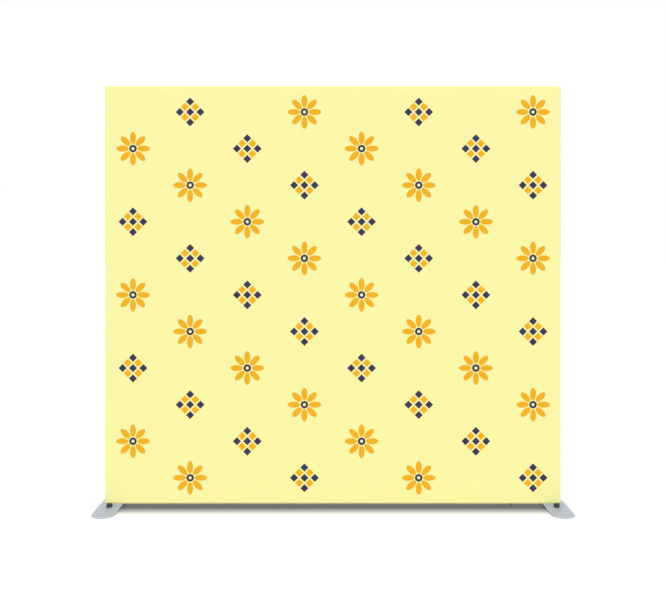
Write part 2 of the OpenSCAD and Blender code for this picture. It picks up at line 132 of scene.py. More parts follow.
# ---------------------------------------------------------------- materials
class Nodes:
    """A node tree being filled. Its calls add nodes and return their outputs."""

    def __init__(self, tree):
        self.tree = tree

    def node(self, kind, **settings):
        made = self.tree.nodes.new("ShaderNode" + kind)
        for key, value in settings.items():
            setattr(made, key, value)
        return made

    def feed(self, socket, value):
        if isinstance(value, bpy.types.NodeSocket):
            self.tree.links.new(value, socket)
        else:
            socket.default_value = value

    def math(self, operation, *values, clamp=False):
        made = self.node("Math", operation=operation, use_clamp=clamp)
        for socket, value in zip(made.inputs, values):
            self.feed(socket, value)
        return made.outputs[0]

    def plus(self, first, second):
        return self.math("ADD", first, second)

    def times(self, first, second):
        return self.math("MULTIPLY", first, second)

    def length(self, first, second):
        """The distance that is first one way and second square to it."""
        return self.math("SQRT", self.plus(self.times(first, first), self.times(second, second)))

    def wave(self, value, pitch):
        """Runs between -1 and 1, and repeats at each pitch."""
        return self.math("SINE", self.times(value, 2 * math.pi / pitch))

    def place(self):
        return self.node("TexCoord").outputs["Object"]

    def axes(self):
        """The place on the object as x, y and z."""
        split = self.node("SeparateXYZ")
        self.feed(split.inputs[0], self.place())
        return split.outputs

    def noise(self, scale, detail=2.0, roughness=0.5, stretch=(1, 1, 1)):
        mapping = self.node("Mapping")
        self.feed(mapping.inputs["Vector"], self.place())
        mapping.inputs["Scale"].default_value = stretch
        made = self.node("TexNoise")
        self.feed(made.inputs["Vector"], mapping.outputs[0])
        for socket, value in (("Scale", scale), ("Detail", detail), ("Roughness", roughness)):
            made.inputs[socket].default_value = value
        return made.outputs["Fac"]

    def band(self, value, low, high, to_low=0.0, to_high=1.0):
        """Brings value from between low and high to between to_low and to_high."""
        made = self.node("MapRange")
        for socket, number in zip(made.inputs, (value, low, high, to_low, to_high)):
            self.feed(socket, number)
        return made.outputs[0]

    def spread(self, noise, to_low=0.0, to_high=1.0):
        """Brings noise, which mostly lies between 0.3 and 0.7, to between to_low and to_high."""
        return self.band(noise, 0.3, 0.7, to_low, to_high)

    def mix(self, factor, first, second, blend="MIX"):
        made = self.node("Mix", data_type="RGBA", blend_type=blend)
        self.feed(made.inputs["Factor"], factor)
        for socket, colour in ((made.inputs["A"], first), (made.inputs["B"], second)):
            is_socket = isinstance(colour, bpy.types.NodeSocket)
            self.feed(socket, colour if is_socket else (*colour, 1))
        return made.outputs["Result"]

    def bump(self, height, distance, strength, below=None):
        made = self.node("Bump")
        made.inputs["Strength"].default_value = strength
        made.inputs["Distance"].default_value = distance
        self.feed(made.inputs["Height"], height)
        if below is not None:
            self.feed(made.inputs["Normal"], below)
        return made.outputs[0]

    def seen(self):
        """1 for what the camera sees, also mirrored or through glass, and 0 for stray light."""
        ray = self.node("LightPath").outputs
        glass = self.math("MAXIMUM", ray["Is Glossy Ray"], ray["Is Transmission Ray"])
        return self.math("MAXIMUM", ray["Is Camera Ray"], glass)


class Finish(Nodes):
    """A material being made."""

    def __init__(self, name, **settings):
        self.material = bpy.data.materials.new(name)
        self.material.use_nodes = True
        super().__init__(self.material.node_tree)
        self.shader = self.tree.nodes["Principled BSDF"]
        self.to_shader(**settings)

    def to_shader(self, **sockets):
        for name, value in sockets.items():
            self.feed(self.shader.inputs[name.replace("_", " ")], value)
        return self.material


YELLOW = (0.956, 0.930, 0.402)
ORANGE = (0.895, 0.456, 0.015)
NAVY = (0.041, 0.037, 0.092)
SILVER_GREY = (0.435, 0.485, 0.560)
ALUMINIUM = (0.78, 0.79, 0.80)

KNIT_PITCH = 1.3 * MM
KNIT_ROWS = 1.3                          # cross rows for each rib
KNIT_SWAY = 1.5                          # how far the cross rows sway between the ribs
PUCKER_FROM, PUCKER_TO = 1 * MM, 7 * MM  # from the seam, where the puckers start to fade and end
TWILL_PITCH = 0.7 * MM
PLY_PITCH = 0.5 * MM


def toned(colour, factor):
    return tuple(min(channel * factor, 1) for channel in colour)


def knit(cloth):
    """The fine ribs and cross rows of a warp knit, as a height between 0 and 1."""
    x, _, z = cloth.axes()
    ribs = cloth.wave(x, KNIT_PITCH)
    sway = cloth.times(cloth.wave(x, 2 * KNIT_PITCH), KNIT_SWAY)
    row_turn = 2 * math.pi / KNIT_PITCH * KNIT_ROWS
    rows = cloth.math("SINE", cloth.math("MULTIPLY_ADD", z, row_turn, sway))
    return cloth.math("MULTIPLY_ADD", cloth.plus(ribs, rows), 0.25, 0.5)


def stretch_knit(name, print_on=None):
    """Matt stretch polyester with a soft nap, puckered beside its seams; print_on lays a design
    on its ground."""
    cloth = Finish(
        name, Roughness=0.9, Sheen_Weight=0.12, Sheen_Roughness=0.4, Specular_IOR_Level=0.25
    )
    ground = print_on(cloth) if print_on else YELLOW
    uneven = cloth.spread(cloth.noise(2.2, 3), 0.985, 1.0)
    heather = cloth.spread(cloth.noise(380, 2, 0.6), 0.985, 1.0)
    loops = knit(cloth)
    # painted shade and highlight: the knit's hollows are coloured darker and its ribs lighter,
    # following the same height as its bump; uneven and heather are random tone
    painted_knit_shading = cloth.band(loops, 0, 1, 0.965, 1.015)
    tone_and_painted_shading = cloth.times(cloth.times(uneven, heather), painted_knit_shading)
    grey = cloth.node("CombineColor")
    for socket in grey.inputs[:3]:
        cloth.feed(socket, tone_and_painted_shading)
    colour = cloth.mix(1.0, ground, grey.outputs[0], "MULTIPLY")
    _, y, _ = cloth.axes()
    near_seam = cloth.band(cloth.math("ABSOLUTE", y), PUCKER_FROM, PUCKER_TO, 1.0, 0.0)
    pucker = cloth.times(cloth.noise(120, 1, 0.5), near_seam)
    puckered = cloth.bump(pucker, 0.8 * MM, 0.5)
    return cloth.to_shader(
        Base_Color=colour,
        Roughness=cloth.spread(cloth.noise(150, 2), 0.84, 0.94),
        Normal=cloth.bump(loops, 0.10 * MM, 0.6, puckered),
    )


COLUMN, DROP = 0.3125, 0.40              # the print's columns, and the step between motifs in one
PRINT_HALF = 1.1                         # no motif that would be cut off further up or down is kept
BLEED = 0.5 * MM                         # a dye print's soft edge, to either side

PETALS = 8
PETAL_OUT = 0.058                        # from the daisy's middle to a petal's
PETAL_HALF = (0.034, 0.0165)             # half a petal's length and width
RING_R, RING_HALF = 0.0145, 0.0062       # the ring's radius and half its width

PATCH_PITCH = 0.040                      # between the middles of a patch's squares
PATCH_REACH = 1.5                        # in steps from the middle: three rows of three squares
SQUARE_HALF = 0.0158                     # half a square's side


def inside(cloth, distance, limit):
    """1 where distance is below the limit, with the soft edge of a dye print."""
    return cloth.band(distance, limit - BLEED, limit + BLEED, 1.0, 0.0)


def daisy(cloth, u, v):
    """Orange petals round a navy ring: how much of each colour."""
    half_length, half_width = PETAL_HALF
    radius = cloth.length(u, v)
    folded = cloth.math("PINGPONG", cloth.math("ARCTAN2", v, u), math.pi / PETALS)
    along = cloth.times(radius, cloth.math("COSINE", folded))
    beside = cloth.times(radius, cloth.math("SINE", folded))
    out = cloth.math("DIVIDE", cloth.math("SUBTRACT", along, PETAL_OUT), half_length)
    oval = cloth.length(out, cloth.math("DIVIDE", beside, half_width))
    ring = cloth.math("ABSOLUTE", cloth.math("SUBTRACT", radius, RING_R))
    orange = inside(cloth, cloth.times(oval, half_width), half_width)
    return orange, inside(cloth, ring, RING_HALF)


def patch(cloth, u, v):
    """Nine small squares stood on a corner, navy and orange in turn: how much of each colour."""
    slant = math.sqrt(0.5)
    across = cloth.times(cloth.plus(u, v), slant)
    along = cloth.times(cloth.math("SUBTRACT", u, v), slant)
    steps, away = [], []
    for value in (across, along):
        nearest = cloth.math("ROUND", cloth.math("DIVIDE", value, PATCH_PITCH))
        steps.append(nearest)
        offset = cloth.math("MULTIPLY_ADD", nearest, -PATCH_PITCH, value)
        away.append(cloth.math("ABSOLUTE", offset))
    reach = cloth.math("MAXIMUM", *[cloth.math("ABSOLUTE", step) for step in steps])
    in_square = inside(cloth, cloth.math("MAXIMUM", *away), SQUARE_HALF)
    filled = cloth.times(in_square, cloth.math("LESS_THAN", reach, PATCH_REACH))
    odd = cloth.math("PINGPONG", cloth.plus(*steps), 1.0)
    return cloth.times(filled, odd), cloth.times(filled, cloth.math("SUBTRACT", 1.0, odd))


def half_drop_print(cloth):
    """Columns of daisies and patches in turn, each second column half a step lower."""
    x, _, z = cloth.axes()
    column = cloth.math("FLOOR", cloth.math("DIVIDE", x, COLUMN))
    u = cloth.math("MULTIPLY_ADD", cloth.plus(column, 0.5), -COLUMN, x)
    lowered = cloth.math("PINGPONG", column, 1.0)
    height = cloth.math("SUBTRACT", z, MIDDLE_Z)
    raised = cloth.math("MULTIPLY_ADD", lowered, DROP / 2, height)
    row = cloth.math("ROUND", cloth.math("DIVIDE", raised, DROP))
    v = cloth.math("MULTIPLY_ADD", row, -DROP, raised)
    pair = cloth.math("FLOOR", cloth.math("DIVIDE", column, 2))
    is_patch = cloth.math("PINGPONG", cloth.plus(row, pair), 1.0)
    whole = cloth.math("LESS_THAN", cloth.math("ABSOLUTE", height), PRINT_HALF)
    ground = YELLOW
    for colour, on_daisy, on_patch in zip((ORANGE, NAVY), daisy(cloth, u, v), patch(cloth, u, v)):
        chosen = cloth.band(is_patch, 0.0, 1.0, on_daisy, on_patch)
        ground = cloth.mix(cloth.times(chosen, whole), ground, colour)
    return ground


def woven_tape(name):
    tape = Finish(name, Roughness=0.85, Sheen_Weight=0.1)
    x, y, _ = tape.axes()
    twill = tape.wave(tape.plus(x, y), TWILL_PITCH)
    # painted shade: the twill's grooves are coloured darker and its ribs lighter, following the
    # same wave as its bump
    colour = tape.mix(tape.band(twill, -1, 1), (0.86, 0.83, 0.36), (0.93, 0.90, 0.42))
    return tape.to_shader(Base_Color=colour, Normal=tape.bump(twill, 0.08 * MM, 0.6))


def thread(name):
    yarn = Finish(name, Roughness=0.6, Sheen_Weight=0.2)
    x, y, z = yarn.axes()
    ply = yarn.wave(yarn.plus(yarn.plus(x, y), z), PLY_PITCH)
    # painted shade: the grooves between the plies are coloured darker and the plies lighter,
    # following the same wave as the bump
    colour = yarn.mix(yarn.band(ply, -1, 1), (0.80, 0.76, 0.28), (0.90, 0.86, 0.36))
    return yarn.to_shader(Base_Color=colour, Normal=yarn.bump(ply, 0.05 * MM, 0.6))


def powder_coat(name, colour, rim):
    """Baked powder over steel: a fine orange peel and a faint metallic speckle, with a painted
    highlight that makes the sides below rim paler."""
    coat = Finish(name, Roughness=0.45, Coat_Weight=0.15, Coat_Roughness=0.3)
    speckle = coat.band(coat.noise(1800, 1, 0.4), 0.35, 0.65)
    cloud = coat.spread(coat.noise(14, 3))
    blend = coat.math("MULTIPLY_ADD", cloud, 0.35, coat.times(speckle, 0.65))
    mottled = coat.mix(blend, toned(colour, 0.95), toned(colour, 1.04))
    _, _, z = coat.axes()
    # painted highlight: everything below the rim, the plate's sides, is coloured paler
    painted_side_highlight = coat.times(coat.band(z, rim - 0.6 * MM, rim, 1.0, 0.0), 0.8)
    return coat.to_shader(
        Base_Color=coat.mix(painted_side_highlight, mottled, toned(colour, 1.6)),
        Roughness=coat.spread(coat.noise(35, 3, 0.6), 0.40, 0.52),
        Normal=coat.bump(coat.noise(620, 2, 0.5), 0.06 * MM, 0.5),
    )


def moulded(name, colour, roughness, grain=900, depth=0.04 * MM):
    """A moulded plastic or rubber with a fine spark-eroded grain and slight wear."""
    plastic = Finish(name, Roughness=roughness)
    cloud = plastic.spread(plastic.noise(30, 3))
    worn = plastic.spread(plastic.noise(90, 3, 0.6), roughness - 0.06, roughness + 0.08)
    return plastic.to_shader(
        Base_Color=plastic.mix(cloud, toned(colour, 0.9), toned(colour, 1.12)),
        Roughness=worn,
        Normal=plastic.bump(plastic.noise(grain, 2, 0.6), depth, 0.5),
    )


def drawn_metal(
    name, colour, roughness, stretch=(1, 1, 1), scale=300, depth=0.02 * MM, metallic=1.0
):
    """Metal with fine lines along its drawing or turning direction."""
    metal = Finish(name, Metallic=metallic, Roughness=roughness)
    lines = metal.noise(scale, 3, 0.6, stretch)
    return metal.to_shader(
        Base_Color=metal.mix(metal.spread(lines), toned(colour, 0.93), toned(colour, 1.05)),
        Roughness=metal.spread(lines, roughness - 0.06, roughness + 0.08),
        Normal=metal.bump(lines, depth, 0.5),
    )


ALONG_X, ALONG_Z = (0.02, 1, 1), (1, 1, 0.02)
PLATE_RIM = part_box("foot_plate_left")[1].z - 0.3 * MM
FINISHES = {
    "printed_fabric": stretch_knit("printed stretch knit", half_drop_print),
    "plain_fabric": stretch_knit("plain stretch knit"),
    "zip_tape": woven_tape("zip tape twill"),
    "silver_powder_coat": powder_coat("silver-grey powder coat", SILVER_GREY, PLATE_RIM),
    "spacer_black": moulded("satin black nylon", (0.042, 0.044, 0.040), 0.42),
    "black_nylon": moulded(
        "black glass-filled nylon", (0.014, 0.014, 0.015), 0.55, 500, 0.08 * MM
    ),
    "pad_rubber": moulded("black rubber", (0.020, 0.020, 0.020), 0.75, 700, 0.08 * MM),
    "zip_plastic": moulded("cream acetal", (0.80, 0.76, 0.40), 0.35, 1200, 0.02 * MM),
    "tube_aluminium": drawn_metal("drawn aluminium", ALUMINIUM, 0.34, ALONG_Z),
    "rivet_aluminium": drawn_metal("rivet aluminium", (0.80, 0.81, 0.82), 0.38),
    "spring_steel": drawn_metal("blued spring steel", (0.30, 0.31, 0.34), 0.35, ALONG_X),
    "button_steel": drawn_metal(
        "nickel-plated button", (0.72, 0.70, 0.66), 0.2, scale=500, depth=0.01 * MM
    ),
    "zinc_steel": drawn_metal("zinc-plated steel", (0.66, 0.67, 0.66), 0.33, scale=240),
    "insert_brass": drawn_metal("turned brass", (0.78, 0.58, 0.26), 0.3, (1, 1, 8)),
    "zip_metal": drawn_metal(
        "black-lacquered cast zinc", (0.030, 0.030, 0.032), 0.42, scale=350, metallic=0.0
    ),
}
sewing_thread = thread("sewing thread")
rail_aluminium = drawn_metal("drawn aluminium, lengthwise", ALUMINIUM, 0.34, ALONG_X)
SLOT_OF = {part["node"]: part["material_slot"] for part in frame["record"]["subparts"]}
for node, solid in frame["nodes"].items():
    is_rail = node.startswith("rail")
    solid.data.materials.clear()
    solid.data.materials.append(rail_aluminium if is_rail else FINISHES[SLOT_OF[node]])


# ---------------------------------------------------------------- shaping by hand
def only(piece):
    """Deselects everything else and makes piece the one worked on."""
    bpy.ops.object.select_all(action="DESELECT")
    piece.select_set(True)
    bpy.context.view_layer.objects.active = piece
    return piece


def added(name):
    piece = bpy.context.object
    piece.name = piece.data.name = name
    return only(piece)


def settled(piece):
    """Puts the piece's place, turn and scale into its mesh."""
    only(piece)
    bpy.ops.object.transform_apply(location=True, rotation=True, scale=True)
    return piece


def block(name, size, centre):
    bpy.ops.mesh.primitive_cube_add(size=1, location=centre)
    piece = added(name)
    piece.scale = size
    return settled(piece)


def rod(name, radius, length, centre, sides, turn=(0, 0, 0)):
    bpy.ops.mesh.primitive_cylinder_add(
        vertices=sides, radius=radius, depth=length, location=centre, rotation=turn
    )
    return settled(added(name))


def new_piece(name, mesh):
    piece = bpy.data.objects.new(name, mesh)
    bpy.context.collection.objects.link(piece)
    return piece


def built(name, points, faces):
    mesh = bpy.data.meshes.new(name)
    mesh.from_pydata(points, [], faces)
    mesh.validate()
    return new_piece(name, mesh)


def pick(piece, wanted, kind="FACE"):
    """Goes into edit mode with just those faces, edges or corners selected that wanted() says."""
    only(piece)
    bpy.ops.object.mode_set(mode="EDIT")
    bpy.ops.mesh.select_mode(type=kind)
    bpy.ops.mesh.select_all(action="DESELECT")
    mesh = bmesh.from_edit_mesh(piece.data)
    for part in {"FACE": mesh.faces, "EDGE": mesh.edges, "VERT": mesh.verts}[kind]:
        if wanted(part):
            part.select_set(True)
    mesh.select_flush_mode()
    bmesh.update_edit_mesh(piece.data)


def pick_all(piece):
    """Goes into edit mode with the whole piece selected."""
    only(piece)
    bpy.ops.object.mode_set(mode="EDIT")
    bpy.ops.mesh.select_mode(type="VERT")
    bpy.ops.mesh.select_all(action="SELECT")


def done(piece):
    bpy.ops.object.mode_set(mode="OBJECT")
    return piece


def apply(piece, kind, **settings):
    only(piece)
    modifier = piece.modifiers.new(kind.title(), kind)
    for key, value in settings.items():
        setattr(modifier, key, value)
    bpy.ops.object.modifier_apply(modifier=modifier.name)
    return piece


def eased(piece, width, segments=2, angle=35):
    """Bevels the edges that are sharper than angle."""
    return apply(
        piece, "BEVEL", width=width, segments=segments,
        limit_method="ANGLE", angle_limit=math.radians(angle),
    )


def smooth(piece, angle=35):
    only(piece)
    bpy.ops.object.shade_smooth_by_angle(angle=math.radians(angle))
    return piece


def cut(piece, cutter, operation="DIFFERENCE"):
    apply(piece, "BOOLEAN", operation=operation, object=cutter, solver="EXACT")
    bpy.data.objects.remove(cutter)
    return piece


def split(piece, place, way, **settings):
    """Cuts the piece's faces in two where a plane passes through them."""
    pick_all(piece)
    bpy.ops.mesh.bisect(plane_co=place, plane_no=way, **settings)
    return done(piece)


def repeated(piece, count, pitch):
    """Repeats the piece along the wall."""
    return apply(
        piece, "ARRAY", count=count, use_relative_offset=False, use_constant_offset=True,
        constant_offset_displace=(pitch, 0, 0),
    )


def drawn_out(piece, wanted, move, taper):
    """Draws out the faces that wanted() says, and tapers their ends."""
    pick(piece, wanted)
    bpy.ops.mesh.extrude_region_move(TRANSFORM_OT_translate={"value": move})
    bpy.ops.transform.resize(value=taper)
    return done(piece)


def sunk(piece, wanted, border, step, depth):
    """Sinks the middle of the faces that wanted() says, behind a border and a slanting step."""
    pick(piece, wanted)
    bpy.ops.mesh.inset(thickness=border)
    bpy.ops.mesh.inset(thickness=step, depth=-depth)
    return done(piece)


def rounded(piece, wanted, radius):
    """Rounds the edges that wanted() says, given each edge's middle and way."""
    def chosen(edge):
        first, second = (corner.co for corner in edge.verts)
        return wanted((first + second) / 2, (first - second).normalized())

    pick(piece, chosen, "EDGE")
    bpy.ops.mesh.bevel(offset=radius, segments=6, affect="EDGES")
    return done(piece)


def joined(name, pieces):
    only(pieces[0])
    for piece in pieces[1:]:
        piece.select_set(True)
    bpy.ops.object.join()
    return added(name)


def merged_copy(node, name):
    """A copy of a frame piece with its corners joined up and its flat faces whole."""
    piece = new_piece(name, frame["nodes"][node].data.copy())
    pick_all(piece)
    bpy.ops.mesh.remove_doubles(threshold=0.005 * MM)
    bpy.ops.mesh.dissolve_limited(angle_limit=math.radians(2))
    return done(piece)


def worked_copy(node, name, width, segments=2):
    """A merged copy with its sharp edges eased."""
    return smooth(eased(merged_copy(node, name), width, segments))


def fitted(piece, body, slot, *nodes, finish=None):
    """Dresses a finished piece, in its slot's finish unless another is given, sets it on its body
    and lets it stand for its frame pieces."""
    piece.data.materials.clear()
    piece.data.materials.append(finish or FINISHES[slot])
    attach(piece, body)
    if nodes:
        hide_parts(*nodes)
    return piece


# ---------------------------------------------------------------- the cover
PANEL_ANGLES = [0, 2, 5, 10, 17, 24, 32, math.degrees(EDGE_ANGLE), 49, 58, 67, 78, 90]
ZIP_STEP = PANEL_ANGLES.index(math.degrees(EDGE_ANGLE))
FLAT_STEP = 0.04                         # spacing of the mesh over the flat of the wall
CORNER_STEPS = len(PANEL_ANGLES) - 1     # faces from a seam to the flat


def stations(low, high, extra=()):
    """Places across a panel from seam to seam, each with the depth of the cloth there and how far
    the seam draws in the place and the depth."""
    first, last = low + EDGE_R, high - EDGE_R
    curve = []
    for angle in map(math.radians, PANEL_ANGLES):
        dip = SEAM_DIP * math.exp(-((EDGE_R * angle / SEAM_REACH) ** 2))
        curve.append((math.cos(angle), math.sin(angle), dip))
    count = round((last - first) / FLAT_STEP)
    flat = sorted([first + (last - first) * i / count for i in range(1, count)] + list(extra))
    return (
        [(first - EDGE_R * out, EDGE_R * deep, dip * out, dip * deep)
         for out, deep, dip in curve]
        + [(place, EDGE_R, 0.0, 0.0) for place in flat]
        + [(last + EDGE_R * out, EDGE_R * deep, -dip * out, dip * deep)
           for out, deep, dip in reversed(curve)]
    )


def tension_wave(x, z):
    """Inward draw of the taut cloth beside the wall's edges, deeper and shallower along them."""
    edge = min(HALF - abs(x), z - BOTTOM, TOP - z)
    if edge < DRAW_FROM * EDGE_R:
        return 0.0
    ramp = min((edge / EDGE_R - DRAW_FROM) / (DRAW_FULL - DRAW_FROM), 1)
    fade = ramp * math.exp(-edge / DRAW_REACH)
    (fast_x, start_x, slow_z), (fast_z, start_z, slow_x) = DRAW_RIPPLES
    along_x = math.sin(x * fast_x + start_x) * math.cos(z * slow_z)
    along_z = math.sin(z * fast_z + start_z) * math.cos(x * slow_x)
    return DRAW_DEPTH * fade * (0.5 + 0.25 * (along_x + along_z))


def grid_faces(column, row, columns, rows):
    """The four-sided face of a panel's grid at that place, or its two halves on a mitred corner."""
    a, b = column * (rows + 1) + row, (column + 1) * (rows + 1) + row
    c, d = b + 1, a + 1
    from_left, from_right = column, columns - 1 - column
    from_bottom, from_top = row, rows - 1 - row
    from_side = min(from_left, from_right)
    if from_side >= CORNER_STEPS or from_side != min(from_bottom, from_top):
        return [(a, b, c, d)]
    if (from_left < from_right) == (from_bottom < from_top):
        return [(a, b, c), (a, c, d)]
    return [(a, b, d), (b, c, d)]


def cover_panel(name, side):
    """One face of the cover: flat between the tubes and a quarter turn round each, open where the
    zip goes."""
    across = stations(-HALF, HALF, (-SLOT_HALF, SLOT_HALF))
    up = stations(BOTTOM, TOP)
    points = []
    for x, depth_x, in_x, sink_x in across:
        for z, depth_z, in_z, sink_z in up:
            # the seams run out flat at the cover's corners
            drawn = 1 if EDGE_R in (depth_x, depth_z) else 0
            depth = min(depth_x - drawn * sink_x, depth_z - drawn * sink_z) - tension_wave(x, z)
            points.append((x + drawn * in_x, side * depth, z + drawn * in_z))
    faces = []
    columns, rows = len(across) - 1, len(up) - 1
    for i in range(columns):
        over_zip = abs(across[i][0] + across[i + 1][0]) / 2 < SLOT_HALF
        for j in range(ZIP_STEP if over_zip else 0, rows):
            halves = grid_faces(i, j, columns, rows)
            faces += halves if side == FRONT else [face[::-1] for face in halves]
    panel = built(name, points, faces)
    for x in NECKS:
        neck_opening(panel, x)
    thicken(panel)
    return smooth(panel, 40)


def neck_opening(panel, x):
    """Cuts the round hole for a spacer's neck, one side of the round at a time."""
    mesh = bmesh.new()
    mesh.from_mesh(panel.data)
    centre = Vector((x, 0, 0))

    def near(face):
        places = [corner.co for corner in face.verts]
        return (
            min(place.z for place in places) < BOTTOM + EDGE_R / 2
            and min(place.x for place in places) < x + NECK_HOLE
            and max(place.x for place in places) > x - NECK_HOLE
        )

    for i in range(HOLE_SIDES):
        angle = 2 * math.pi * i / HOLE_SIDES
        way = Vector((math.cos(angle), math.sin(angle), 0))
        faces = [face for face in mesh.faces if near(face)]
        edges = dict.fromkeys(edge for face in faces for edge in face.edges)
        corners = dict.fromkeys(corner for face in faces for corner in face.verts)
        bmesh.ops.bisect_plane(
            mesh, geom=[*faces, *edges, *corners], plane_co=centre + way * NECK_HOLE, plane_no=way
        )
    gone = [
        face for face in mesh.faces
        if near(face) and (face.calc_center_median().xy - centre.xy).length < NECK_HOLE
    ]
    bmesh.ops.delete(mesh, geom=gone, context="FACES")
    rim = [corner for corner in mesh.verts if any(near(face) for face in corner.link_faces)]
    rim.sort(key=lambda corner: abs((corner.co.xy - centre.xy).length - NECK_HOLE))
    bmesh.ops.remove_doubles(mesh, verts=rim, dist=HOLE_MERGE)
    bmesh.ops.remove_doubles(mesh, verts=mesh.verts, dist=SAME_PLACE)
    mesh.to_mesh(panel.data)
    mesh.free()


def thicken(panel):
    """Gives the panel an inner side, drawn in towards the middle of the round-overs and joined
    along its rims."""
    mesh = bmesh.new()
    mesh.from_mesh(panel.data)
    loose = [corner for corner in mesh.verts if not corner.link_faces]
    bmesh.ops.delete(mesh, geom=loose, context="VERTS")

    def drawn_in(place, middle, half):
        out = place - middle
        share = max(abs(out) - (half - EDGE_R), 0) / EDGE_R
        return place - math.copysign(CLOTH * share, out)

    inner = {
        corner: mesh.verts.new((
            drawn_in(corner.co.x, 0, HALF),
            corner.co.y * (1 - CLOTH / EDGE_R),
            drawn_in(corner.co.z, MIDDLE_Z, (TOP - BOTTOM) / 2),
        ))
        for corner in list(mesh.verts)
    }
    faces = [list(face.verts) for face in mesh.faces]
    loops = [edge.link_loops[0] for edge in mesh.edges if edge.is_boundary]
    rims = [(loop.vert, loop.link_loop_next.vert) for loop in loops]
    for face in faces:
        mesh.faces.new([inner[corner] for corner in reversed(face)])
    for first, second in rims:
        mesh.faces.new((second, first, inner[first], inner[second]))
    mesh.to_mesh(panel.data)
    mesh.free()


def round_bottom(radius, angle):
    """A point of the cover's bottom curve, as y on the back's side and z."""
    return radius * math.sin(angle), BOTTOM + EDGE_R - radius * math.cos(angle)


def curved_strip(name, side, outer, thickness, start, turn, lengths):
    """A strip of cloth along the bottom curve, as long as the zip's opening."""
    steps = 8
    points, faces = [], []
    for i in range(lengths + 1):
        x = SLOT_HALF * (2 * i / lengths - 1)
        for j in range(steps + 1):
            y, z = round_bottom(outer, start + turn * j / steps)
            points.append((x, side * y, z))
    for i in range(lengths):
        for j in range(steps):
            a, d = i * (steps + 1) + j, i * (steps + 1) + j + 1
            b, c = a + steps + 1, d + steps + 1
            faces.append((a, b, c, d) if side == FRONT else (d, c, b, a))
    strip = built(name, points, faces)
    apply(strip, "SOLIDIFY", thickness=thickness, offset=-1, use_even_offset=True)
    return smooth(strip, 50)


def stitch_row(name, side, angle, radius):
    """A row of lockstitches along the bottom curve: one stitch drawn down at its ends, then
    repeated."""
    stitch = rod(name, THREAD_R, STITCH_MIDDLE, (0, 0, 0), 6, (0, math.radians(90), 0))
    for way in (-1, 1):
        move = (STITCH_END * way, 0, STITCH_DIVE)
        drawn_out(stitch, lambda face: face.normal.x * way > 0.9, move, (1, 0.5, 0.5))
    count = int(2 * SLOT_HALF / STITCH_PITCH)
    y, z = round_bottom(radius, angle)
    start = Vector((-(count - 1) * STITCH_PITCH / 2, side * y, z))
    stitch.data.transform(Matrix.Translation(start) @ Matrix.Rotation(side * angle, 4, "X"))
    return smooth(repeated(stitch, count, STITCH_PITCH), 60)


for word, side, slot in (("front", FRONT, "printed_fabric"), ("back", BACK, "plain_fabric")):
    panel = fitted(cover_panel("cover_panel_" + word, side), "wall", slot, "cover_" + word)
    hem = curved_strip(
        "cover_hem_" + word, side, EDGE_R + HEM_PROUD, HEM_PROUD, EDGE_ANGLE, HEM_TURN, 80
    )
    fitted(hem, "wall", slot)
    rows = [
        stitch_row("row", side, EDGE_ANGLE + row / EDGE_R, EDGE_R + HEM_PROUD + STITCH_PROUD)
        for row in HEM_ROWS
    ]
    stitches = joined("hem_stitches_" + word, rows)
    fitted(stitches, "wall", slot, finish=sewing_thread)
    tape = curved_strip(
        "zip_tape_cloth_" + word, side, TAPE_OUTER, TAPE_CLOTH, TAPE_FROM, TAPE_TURN, 40
    )
    fitted(tape, "wall", "zip_tape", "zip_tape_" + word)


# ---------------------------------------------------------------- the zip
def zip_tooth(name, side):
    """One moulded tooth: a clamp on the tape and a narrower head that reaches between the other
    side's heads."""
    width = teeth_high.y - teeth_low.y
    height = teeth_high.z - teeth_low.z
    size = (TOOTH_LENGTH, width - TOOTH_GAP, height * TOOTH_SLIM)
    tooth = block(name, size, (0, side * (width + TOOTH_GAP) / 2, 0))
    move = (0, -side * TOOTH_HEAD, 0)
    drawn_out(tooth, lambda face: -face.normal.y * side > 0.9, move, TOOTH_TAPER)
    return eased(tooth, 0.18 * MM, 1, 40)


for word, side, shift in (("front", FRONT, 0.0), ("back", BACK, 0.5)):
    row = zip_tooth("zip_teeth_row_" + word, side)
    count = int((teeth_high.x - teeth_low.x) / TOOTH_PITCH) - 1
    start = (-(count - 1) / 2 + shift) * TOOTH_PITCH
    row.data.transform(Matrix.Translation((start, 0, (teeth_low.z + teeth_high.z) / 2)))
    smooth(repeated(row, count, TOOTH_PITCH), 30)
    fitted(row, "wall", "zip_plastic", "zip_teeth_" + word)
    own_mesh(row)

stops = worked_copy("zip_stops", "zip_end_stops", 0.3 * MM)
fitted(stops, "wall", "zip_plastic", "zip_stops")

# the slider is the frame's, cut down to a block with rounded corners
trimmed = slider_high - slider_low + Vector((-SLIDER_TRIM, -SLIDER_TRIM, 2 * MM))
outline = block("outline", trimmed, (slider_low + slider_high) / 2)
rounded(outline, lambda middle, way: abs(way.z) > 0.99, SLIDER_CORNER)
slider = cut(merged_copy("zip_slider", "zip_slider_body"), outline, "INTERSECT")
fitted(smooth(eased(slider, 0.2 * MM)), "zip_slider", "zip_metal", "zip_slider")


def zip_pull(name):
    """The frame's pull with a rounded end and a sunk panel on both sides of its grip."""
    pull = merged_copy("zip_pull", name)
    end = pull_low.z + 0.1 * MM
    rounded(pull, lambda middle, way: abs(way.x) > 0.99 and middle.z < end, PULL_CORNER)
    grip_top = pull_high.z - PULL_EYE
    split(pull, (0, 0, grip_top), (0, 0, 1))
    for side in (-1, 1):
        def on_grip(face):
            return face.normal.x * side > 0.99 and face.calc_center_median().z < grip_top

        sunk(pull, on_grip, PULL_BORDER, PULL_SUNK, PULL_SUNK)
    return smooth(eased(pull, 0.2 * MM))


fitted(zip_pull("zip_pull_tab"), "zip_pull", "zip_metal", "zip_pull")


